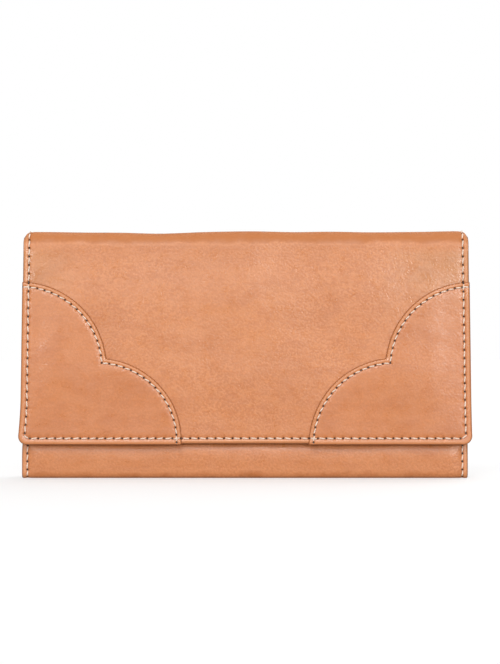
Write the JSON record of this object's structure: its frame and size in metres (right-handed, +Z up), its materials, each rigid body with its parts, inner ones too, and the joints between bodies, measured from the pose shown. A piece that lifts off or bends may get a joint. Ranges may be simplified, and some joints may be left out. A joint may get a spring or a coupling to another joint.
{
  "type": "long wallet",
  "caption": "Long leather wallet with a full-width front flap closed by a magnetic snap, scalloped corner panels, note compartments, card slots and a zipped coin pocket.",
  "frame": {"origin": "centre of the closed wallet's bounding box in X and Y, at the level of its base", "axes": "+X across the wallet, its longest side; -Y out of the front, +Y out of the back, the shortest side; +Z up, from the base to the top fold"},
  "size_m": [0.1908, 0.0286, 0.104],
  "materials": {
    "leather": "fine pebbled grain, satin",
    "corner_leather": "fine pebbled grain, satin",
    "lining": "twill",
    "board": "matt",
    "thread": "waxed",
    "snap_brass": "polished",
    "zip_brass": "polished",
    "steel": "plain",
    "magnet": "nickel plated",
    "zip_tape": "woven"
  },
  "bodies": {
    "back": {"back_leather": "leather", "back_lining": "lining", "card_strip_1": "leather", "card_strip_2": "leather", "card_strip_3": "leather", "card_strip_4": "leather", "thread_back_sides": "thread", "thread_card_strips": "thread", "gusset_left": "leather", "gusset_right": "leather"},
    "top_fold": {"top_leather": "leather", "top_lining": "lining"},
    "flap": {"flap_leather": "leather", "flap_board": "board", "flap_lining": "lining", "corner_panel_left": "corner_leather", "corner_panel_right": "corner_leather", "thread_flap_border": "thread", "thread_corner_left": "thread", "thread_corner_right": "thread", "snap_stud": "snap_brass", "snap_stud_washer": "steel"},
    "front_wall": {"front_leather": "leather", "front_lining": "lining", "front_slip_pocket": "leather", "thread_front_sides": "thread", "snap_socket": "snap_brass", "snap_magnet": "magnet", "snap_socket_washer": "steel"},
    "coin_pocket": {"coin_front_wall": "leather", "coin_back_wall": "leather", "coin_end_left": "leather", "coin_end_right": "leather", "zip_stops": "zip_brass"},
    "zip_lip_front": {"zip_tape_front": "zip_tape", "zip_teeth_front": "zip_brass"},
    "zip_lip_back": {"zip_tape_back": "zip_tape", "zip_teeth_back": "zip_brass"},
    "zip_slider": {"zip_slider": "zip_brass", "zip_pin": "steel"},
    "zip_pull": {"zip_pull": "zip_brass"}
  },
  "joints": [
    {"name": "top_fold_hinge", "type": "hinge", "parent": "back", "child": "top_fold", "pos_m": [0, 0.01253, 0.10248], "axis": [-1, 0, 0], "range_deg": [0, 100]},
    {"name": "flap_hinge", "type": "hinge", "parent": "top_fold", "child": "flap", "pos_m": [0, -0.01153, 0.10248], "axis": [-1, 0, 0], "range_deg": [0, 100]},
    {"name": "front_wall_tilt", "type": "hinge", "parent": "back", "child": "front_wall", "pos_m": [0, -0.00751, 0.00064], "axis": [1, 0, 0], "range_deg": [0, 25], "deforming": ["gusset_left", "gusset_right"]},
    {"name": "coin_pocket_tilt", "type": "hinge", "parent": "back", "child": "coin_pocket", "pos_m": [0, -0.00751, 0.00064], "axis": [1, 0, 0], "range_deg": [0, 12.5], "deforming": ["gusset_left", "gusset_right"]},
    {"name": "zip_slide", "type": "slide", "parent": "coin_pocket", "child": "zip_slider", "axis": [1, 0, 0], "range_m": [0, 0.146], "deforming": ["zip_tape_front", "zip_teeth_front", "zip_tape_back", "zip_teeth_back"]},
    {"name": "zip_front_lip", "type": "hinge", "parent": "coin_pocket", "child": "zip_lip_front", "pos_m": [0, -0.00115, 0.0789], "axis": [1, 0, 0], "range_deg": [0, 56]},
    {"name": "zip_back_lip", "type": "hinge", "parent": "coin_pocket", "child": "zip_lip_back", "pos_m": [0, 0.00495, 0.0789], "axis": [-1, 0, 0], "range_deg": [0, 56]},
    {"name": "pull_swing", "type": "hinge", "parent": "zip_slider", "child": "zip_pull", "pos_m": [-0.0761, 0.0019, 0.0832], "axis": [0, -1, 0], "range_deg": [0, 180]}
  ],
  "couplings": [
    {"joint": "flap_hinge", "follows": "top_fold_hinge", "ratio": 1},
    {"joint": "front_wall_tilt", "follows": "top_fold_hinge", "ratio": 0.25},
    {"joint": "coin_pocket_tilt", "follows": "top_fold_hinge", "ratio": 0.125},
    {"joint": "zip_front_lip", "follows": "zip_slide", "rad_per_m": 6.5749},
    {"joint": "zip_back_lip", "follows": "zip_slide", "rad_per_m": 6.5749}
  ]
}
